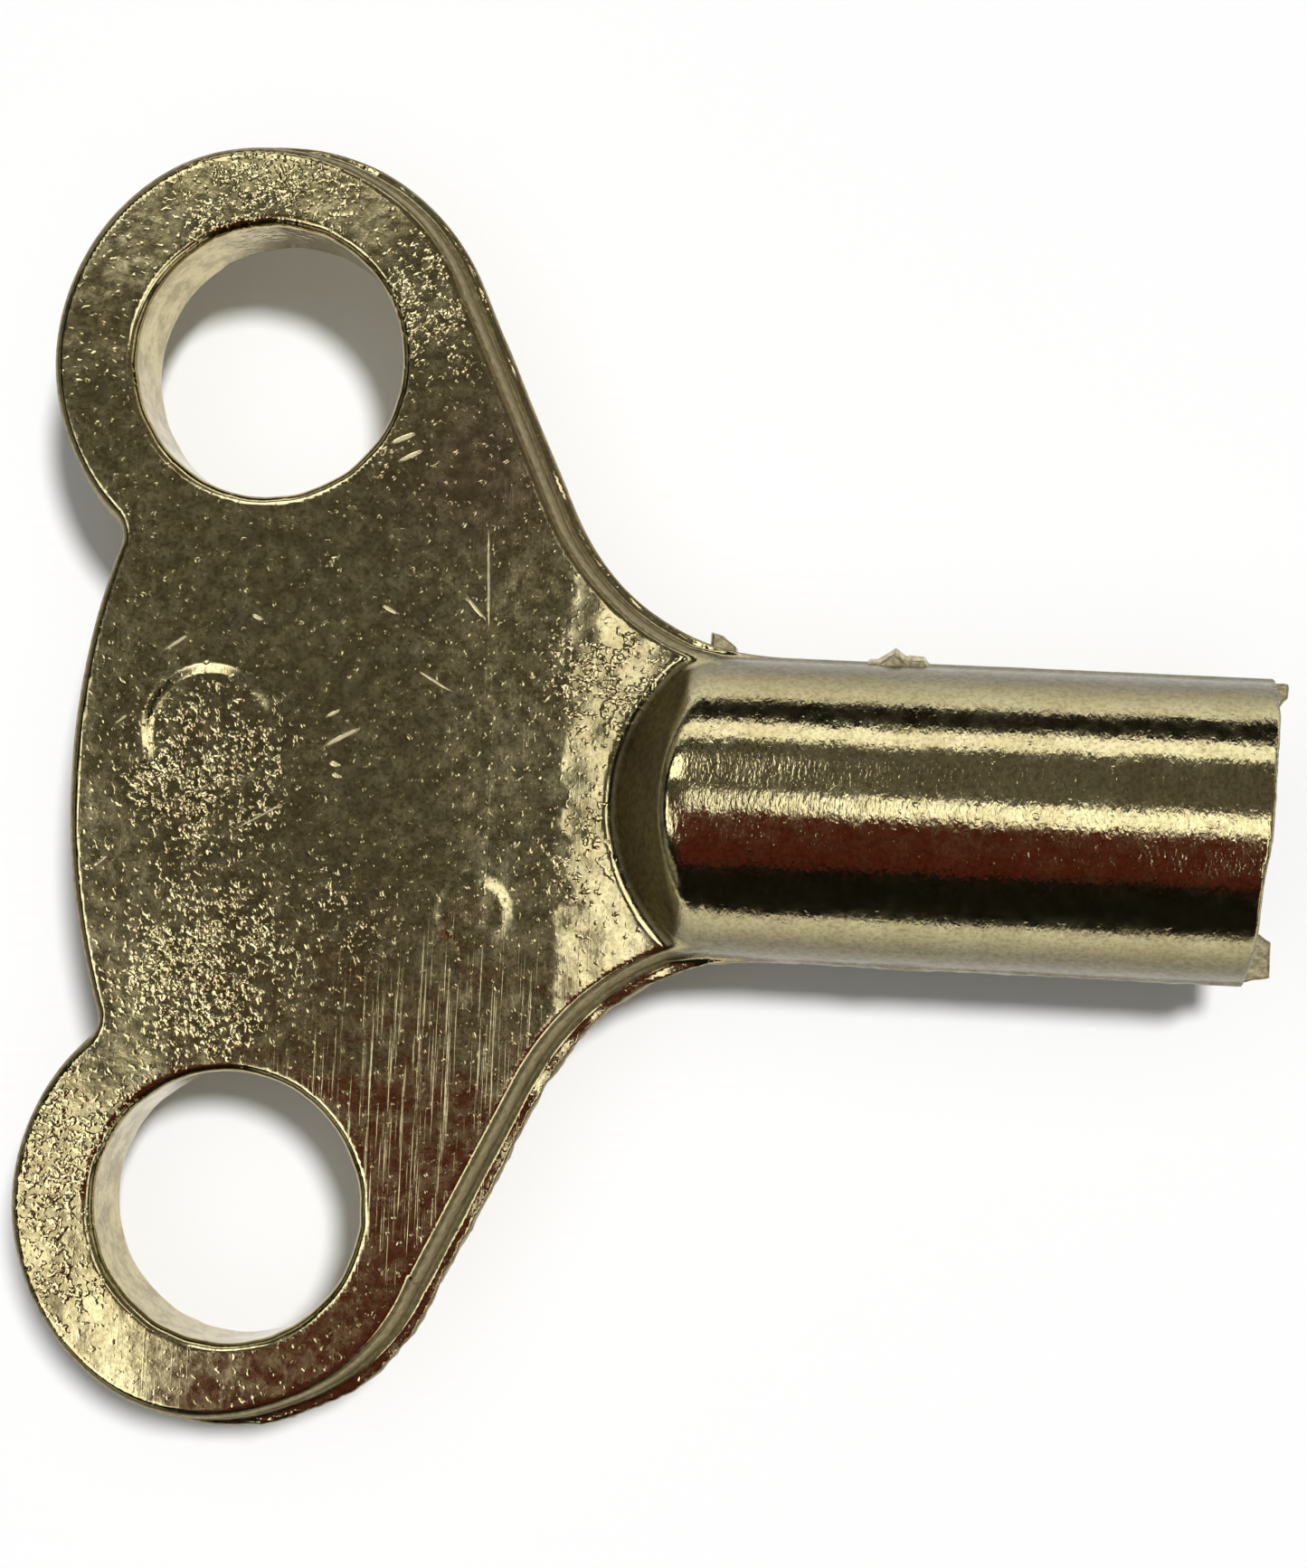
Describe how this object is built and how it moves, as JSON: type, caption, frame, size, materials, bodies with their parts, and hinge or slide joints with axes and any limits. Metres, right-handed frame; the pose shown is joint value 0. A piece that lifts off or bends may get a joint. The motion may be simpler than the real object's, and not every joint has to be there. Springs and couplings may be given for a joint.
{
  "type": "radiator bleed key",
  "caption": "Cast brass radiator bleed key with a flat two-eyed butterfly bow and a square-socket barrel.",
  "frame": {"origin": "centre of the square socket's mouth, on the barrel's axis", "axes": "+X out of the socket along the barrel's axis; +Y across the bow, from the lower eye to the upper eye; +Z square to the flat of the bow, on the side with the ejector marks"},
  "size_m": [0.0373, 0.0388, 0.009],
  "materials": {
    "cast_brass": "bright as-cast and tumbled, finely grained, with polishing lines",
    "torn_brass": "torn and dull, where flash and the gate were broken off"
  },
  "bodies": {
    "root": {"thumb_web": "cast_brass", "upper_eye": "cast_brass", "lower_eye": "cast_brass", "shoulder": "cast_brass", "socket_barrel": "cast_brass", "gate_stub": "torn_brass", "flank_flash": "torn_brass", "mouth_flash": "torn_brass"}
  },
  "joints": []
}
